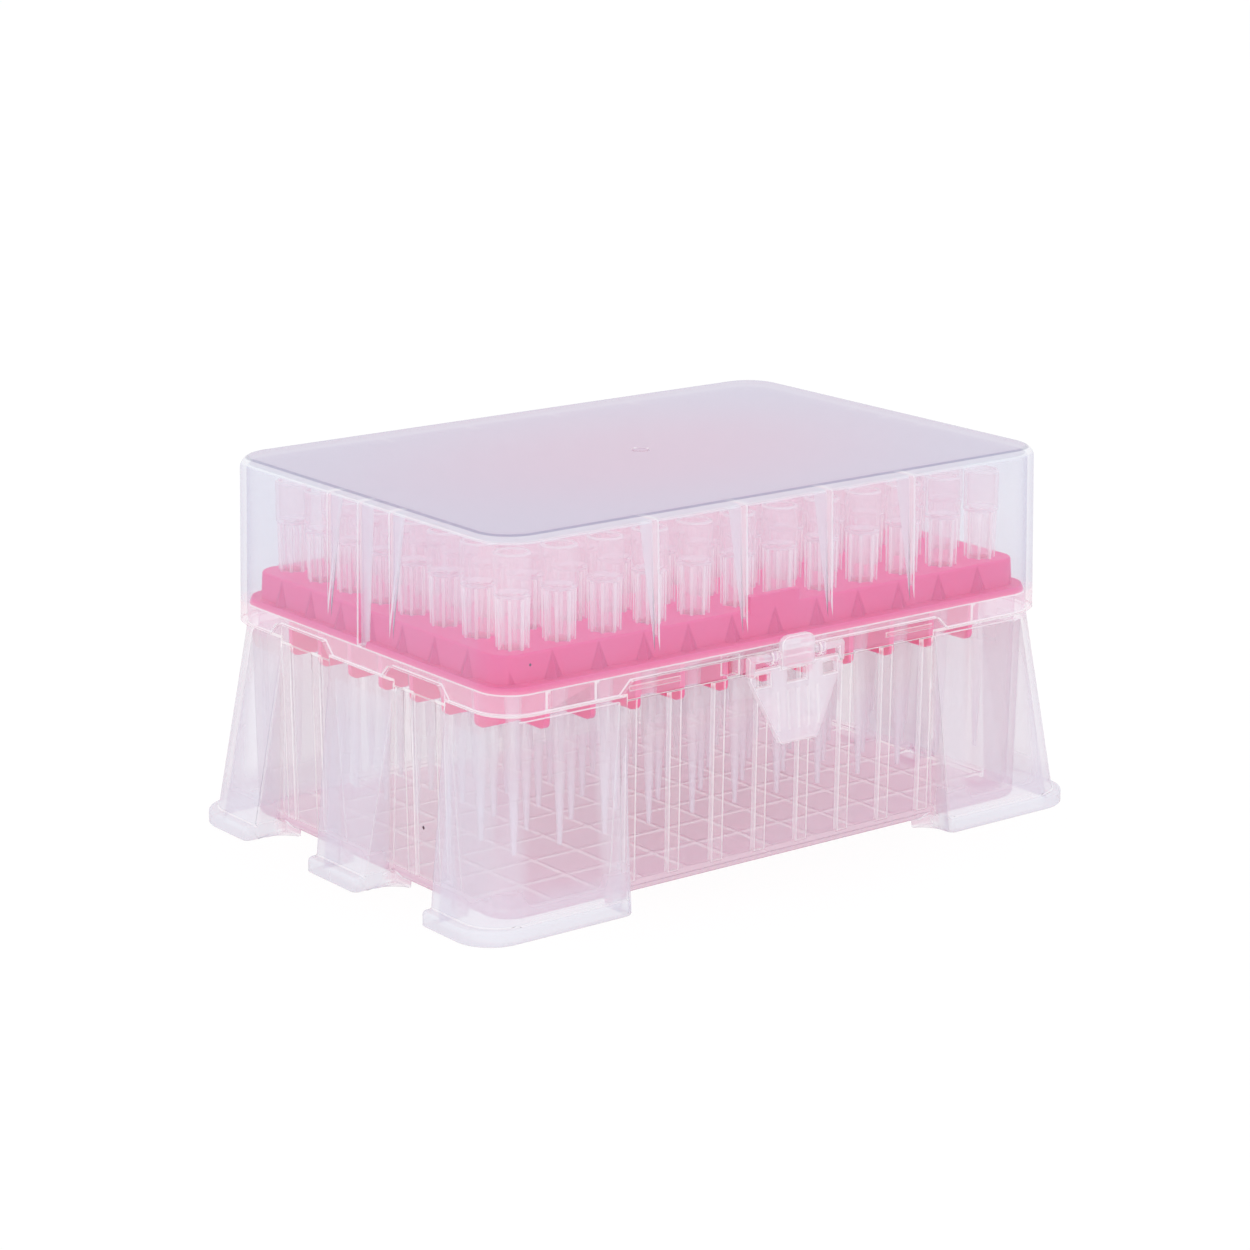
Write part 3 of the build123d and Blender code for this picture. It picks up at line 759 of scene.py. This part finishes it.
@dataclass
class Base:
    """The clear tub with its rim, its hollow foot columns and its strips."""

    edge_width: float = 0.2 * MM
    sharper_than: float = 40.0
    # The pink of the floor and its ribs is painted: the rack's pink light falling on the clear floor.
    floor: Zone = Zone((0, 0, 0.5), (57.2, 38.5, 3.8), 0.32, "E0AECC")
    floor_ribs: Zone = Zone((0, 0, 2.86), (55.2, 36.5, 3.7), 0.12, "EECEE0", 0.05)
    # The rim's pink tone is painted: the rack's pink light seen through its haze.
    rim: Zone = Zone((0, 0, 34.1), (99, 99, 50), 0.2, "F2D2EC")
    wall_top: Zone = Zone((0, 0, 27), (57.6, 38.7, 34.1), 0.03, "E8DCE8", 1.5)
    wall_behind: Zone = Zone((35.5, 36, 3.8), (54, 38.7, 34.1), 0.04, "D9C2DC", 0.5)
    back_wall: Zone = Zone((-99, 36, 3.8), (99, 38.7, 34.1), 0.3, "E6DEE9", one_sided=True)
    far_end_wall: Zone = Zone((54.8, -36.5, 3.8), (57.6, 99, 34.1), 0.3, "E6DEE9", one_sided=True)
    near_end_wall: Zone = Zone((-57.6, -36.5, 3.8), (-54.8, 99, 34.1), 0.17, "E4E0EA", one_sided=True)
    back_low: Zone = Zone((-14, 36, 0), (48, 38.7, 17), 0.3, "D0B6D2", 4.0, one_sided=True)
    end_columns: Zone = Zone((57.6, 0, 2.7), (99, 99, 34.1), 0.22, "E2DEEE")
    side_columns: Zone = Zone((0, 38.7, 2.7), (99, 99, 34.1), 0.1, "E4DAEA")
    side_ends: Zone = Zone((33, 38.7, 2.7), (39.2, 99, 34.1), 0.27, "EAE4F0", 0.5)
    side_corners: Zone = Zone((54.2, 38.7, 2.7), (99, 99, 34.1), 0.3, "E8E2F0", 1.0)
    end_tops: Zone = Zone((55.0, 0, 31), (99, 26, 36.2), 0.2, "F0E4EF", 4.0)
    end_feet: Zone = Zone((57.6, 0, 2.7), (99, 99, 6), 0.4, "E4DFEE", 2.0)
    side_feet: Zone = Zone((0, 38.8, 2.7), (99, 99, 6), 0.4, "E4DCEC", 2.0)
    end_lip: Zone = Zone((57.4, 0, -1), (99, 99, 2.7), 0.34, "E0E0F0")
    side_lip: Zone = Zone((0, 38.5, -1), (99, 99, 2.7), 0.34, "E0E0F0")
    long_strips: Zone = Zone(
        (3.15, 37.2, 3.4), (4.6, 38.65, 34.1), 0.12, "F0E2EC", 0.1, (True, False), span=(0, 33)
    )
    end_strips: Zone = Zone(
        (55.8, 3.15, 3.4), (57.4, 4.6, 34.1), 0.12, "F0E2EC", 0.1, (False, True), span=(8.5, 25)
    )
    # Painted highlights: a bright line down one edge of each strip.
    long_strip_highlights: Zone = Zone(
        (3.25, 37.6, 3.4), (3.6, 38.65, 34.1), 0.6, "FFFAFE", 0.05, (True, False), span=(0, 33)
    )
    end_strip_highlights: Zone = Zone(
        (56.3, 3.25, 3.4), (57.4, 3.6, 34.1), 0.6, "FFFAFE", 0.05, (False, True), span=(8.5, 25)
    )
    # Painted highlights on the rounded edges of the rim, the lip and the ledge.
    rim_edges: Zone = Zone((0, 0, 33.5), (99, 99, 50), 0.72, "FFFAFD")
    lip_edges: Zone = Zone((0, 0, -1), (99, 99, 2.7), 0.55, "F4F2FA")
    ledge_edges: Zone = Zone((21.5, 38.8, 35.6), (32.5, 99, 36.7), 0.3, "FBE6F1", 0.1)
    speck: Speck = Speck((-56.38, -16.38, 12.13), 0.4)

    def build(self) -> None:
        """Dress the base and round its edges."""
        zones = (
            self.floor,
            self.floor_ribs,
            self.wall_top,
            self.wall_behind,
            self.back_wall,
            self.far_end_wall,
            self.near_end_wall,
            self.back_low,
            self.rim,
            self.long_strips,
            self.end_strips,
            self.long_strip_highlights,
            self.end_strip_highlights,
            self.end_columns,
            self.side_columns,
            self.side_ends,
            self.side_corners,
            self.end_tops,
            self.end_feet,
            self.side_feet,
            self.end_lip,
            self.side_lip,
        )
        skin = ClearPolypropylene(
            "moulded_clear_base",
            0.08,
            0.5,
            3.0,
            "DCC6DE",
            "E6DEEC",
            zones=zones,
            specks=(self.speck,),
        ).build()
        # The rounded edges take a near-white painted highlight.
        edge = ClearPolypropylene(
            "base_edge_painted_highlight",
            0.42,
            0.3,
            2.0,
            "F6F0F8",
            "FFFFFF",
            zones=(self.floor, self.floor_ribs, self.rim_edges, self.lip_edges, self.ledge_edges),
        ).build()
        EdgeRound(self.edge_width, self.sharper_than).add_to(dress("base", skin, edge), 1)


@dataclass
class Latch:
    """The clear latch plate with its hood and pivot bar."""

    edge_width: float = 0.14 * MM
    ridge_places: tuple[float, ...] = (0.0, 2.1, 4.2)
    ridge_half: float = 0.2
    ridge_heights: tuple[float, float] = (25.0, 31.5)

    def build(self) -> None:
        """Dress the latch, draw pale lines down its plate for its ridges, part haze and part painted
        highlight, and round its edges.
        """
        low, high = self.ridge_heights
        # Pale ridge lines: thicker haze with a painted highlight.
        lines = tuple(
            Zone((x - self.ridge_half, 0, low), (x + self.ridge_half, 99, high), 0.5, "FBF6FA", 0.2)
            for x in self.ridge_places
        )
        skin = ClearPolypropylene(
            "moulded_clear_latch", 0.34, 0.5, 2.5, "F4EAF6", "FFFFFF", zones=lines
        ).build()
        # The rounded edges take a near-white painted highlight.
        edge = ClearPolypropylene("latch_edge_painted_highlight", 0.6, 0.3, 2.0, "FBF6FC", "FFFFFF").build()
        EdgeRound(self.edge_width).add_to(dress("latch", skin, edge), 1)


@dataclass
class Rack:
    """The pink rack that the tips stand in."""

    def build(self) -> None:
        """Dress the rack."""
        dress("rack", PinkPolypropylene().build(), clear=False)


@dataclass
class Tips:
    """The clear tips, two to a node."""

    names: list[str] = field(
        default_factory=lambda: [name for name in sorted(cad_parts) if name.startswith("tip")]
    )
    # The whiter mouth, ledge and flute-edge bands are painted highlights; the pink in the tips' tones is
    # painted pink light from the rack.
    mouth: Ring = Ring((0, 4), (59.3, 60), 0.34, "FCF2F8")
    ledge: Ring = Ring((0, 4), (52.4, 53.0), 0.3, "F8E8F1")
    flutes: Ring = Ring((2.12, 4), (44.2, 52.4), 0.2, "FCE8F1")
    flute_edge_highlights: Ring = Ring((2.5, 4), (44.2, 52.4), 0.45, "FFF4FA")
    shaft: Zone = Zone((0, 0, 5), (99, 99, 44), 0.15, "EFE9F1", 0.6)
    point: Zone = Zone((0, 0, 5), (99, 99, 20), 0.28, "ECE4F0", 4.0)

    def build(self) -> None:
        """Dress every tip in one finish."""
        skin = ClearPolypropylene(
            "moulded_clear_tip",
            0.16,
            0.5,
            3.0,
            "FBE2EC",
            "FFF4FA",
            roughness=0.10,
            zones=(self.shaft, self.point, self.flutes, self.flute_edge_highlights, self.ledge, self.mouth),
        ).build()
        for name in self.names:
            dress(name, skin)


@dataclass
class Studio:
    """The white table, the soft light and the camera.

    Angles are in degrees and lengths in metres. Each lamp has a name, a place, a size and a power in watts.
    """

    azimuth: float = -37.844
    elevation: float = 14.319
    roll: float = 0.203
    distance: float = 605.479 * MM
    target_height: float = 39.008 * MM
    focal_share: float = 3539.956 / PICTURE_SIDE
    shift: tuple[float, float] = (-0.01193, -0.02628)
    sensor: float = 36.0
    room_light: float = 0.95
    table_half: float = 3.0
    table_gap: float = 0.05 * MM
    table_tone: str = "F4F4F6"
    table_white: float = 1.03
    table_white_share: float = 0.88
    clear_layers: int = 96
    lamp_places: tuple[tuple[str, tuple[float, float, float], float, float], ...] = (
        ("lamp_top", (0.1, 0.1, 0.9), 0.9, 0.5),
        ("lamp_front", (-0.9, -0.9, 0.5), 0.8, 1.2),
    )

    def camera(self) -> None:
        """Place the camera a little above the box, turned towards its front left corner."""
        turn, rise, tilt = (math.radians(a) for a in (self.azimuth, self.elevation, self.roll))
        ahead = Vector((-math.sin(turn) * math.cos(rise), math.cos(turn) * math.cos(rise), -math.sin(rise)))
        right = ahead.cross(Vector((0, 0, 1))).normalized()
        up = right.cross(ahead)
        across = right * math.cos(tilt) + up * math.sin(tilt)
        upward = up * math.cos(tilt) - right * math.sin(tilt)
        data = bpy.data.cameras.new("camera")
        data.sensor_width = self.sensor
        data.lens = self.sensor * self.focal_share
        data.shift_x, data.shift_y = self.shift
        data.clip_start = 0.01
        eye = bpy.data.objects.new("camera", data)
        place = Vector((0, 0, self.target_height)) - ahead * self.distance
        turned = Matrix((across, upward, -ahead)).transposed().to_4x4()
        eye.matrix_world = Matrix.Translation(place) @ turned
        bpy.context.collection.objects.link(eye)
        bpy.context.scene.camera = eye

    def world(self) -> None:
        """Light everything softly from a white room."""
        room = bpy.data.worlds.new("white_room")
        bpy.context.scene.world = room
        room.use_nodes = True
        tree = room.node_tree
        tree.nodes.clear()
        path = add_node(tree, Node.LIGHT_PATH)
        seen = add_node(
            tree,
            Node.MATH,
            {"operation": "MAXIMUM"},
            {0: path.outputs["Is Camera Ray"], 1: path.outputs["Is Glossy Ray"]},
        )
        clear = add_node(
            tree,
            Node.MATH,
            {"operation": "MAXIMUM"},
            {0: seen.outputs[0], 1: path.outputs["Is Transmission Ray"]},
        )
        strength = add_node(
            tree,
            Node.MAP_RANGE,
            links={"Value": clear.outputs[0], "To Min": self.room_light, "To Max": 1.0},
        )
        glow = add_node(
            tree, Node.BACKGROUND, links={"Color": (1.0, 1.0, 1.0, 1.0), "Strength": strength.outputs[0]}
        )
        add_node(tree, Node.WORLD_OUTPUT, links={0: glow.outputs[0]})

    def table(self) -> None:
        """Lay a white table that keeps the box's soft shadow."""
        material, tree = blank_material("white_table")
        path = add_node(tree, Node.LIGHT_PATH)
        paint = add_node(tree, Node.DIFFUSE, links={"Color": linear(self.table_tone)})
        white = add_node(
            tree, Node.EMISSION, links={"Color": (1.0, 1.0, 1.0, 1.0), "Strength": self.table_white}
        )
        share = add_node(
            tree,
            Node.MATH,
            {"operation": "MULTIPLY"},
            {0: path.outputs["Is Camera Ray"], 1: self.table_white_share},
        )
        mixed = add_node(
            tree, Node.MIX_SHADER, links={0: share.outputs[0], 1: paint.outputs[0], 2: white.outputs[0]}
        )
        add_node(tree, Node.OUTPUT, links={"Surface": mixed.outputs[0]})
        half = self.table_half
        mesh = bpy.data.meshes.new("table")
        corners = [(-half, -half, 0), (half, -half, 0), (half, half, 0), (-half, half, 0)]
        mesh.from_pydata(corners, [], [(0, 1, 2, 3)])
        mesh.materials.append(material)
        table = bpy.data.objects.new("table", mesh)
        table.location.z = -self.table_gap
        bpy.context.collection.objects.link(table)

    def lamps(self) -> None:
        """Hang one large soft lamp over the box and one at its front left."""
        for name, place, size, power in self.lamp_places:
            data = bpy.data.lights.new(name, "AREA")
            data.shape = "SQUARE"
            data.size = size
            data.energy = power
            lamp = bpy.data.objects.new(name, data)
            lamp.visible_glossy = False
            lamp.location = place
            aim = Vector((0, 0, self.target_height)) - Vector(place)
            lamp.rotation_euler = aim.to_track_quat("-Z", "Y").to_euler()
            bpy.context.collection.objects.link(lamp)

    def build(self) -> None:
        """Set up the camera, the room, the table and the lamps."""
        scene = bpy.context.scene
        scene.view_settings.view_transform = "Standard"
        scene.cycles.transparent_max_bounces = self.clear_layers
        self.camera()
        self.world()
        self.table()
        self.lamps()
        LOG.info("the studio is set")


def main() -> None:
    """Set the studio and dress the box."""
    logging.basicConfig(level=logging.INFO)
    for part in (Studio(), Base(), Rack(), Tips(), Lid(), Latch()):
        part.build()


if __name__ == "__main__":
    main()
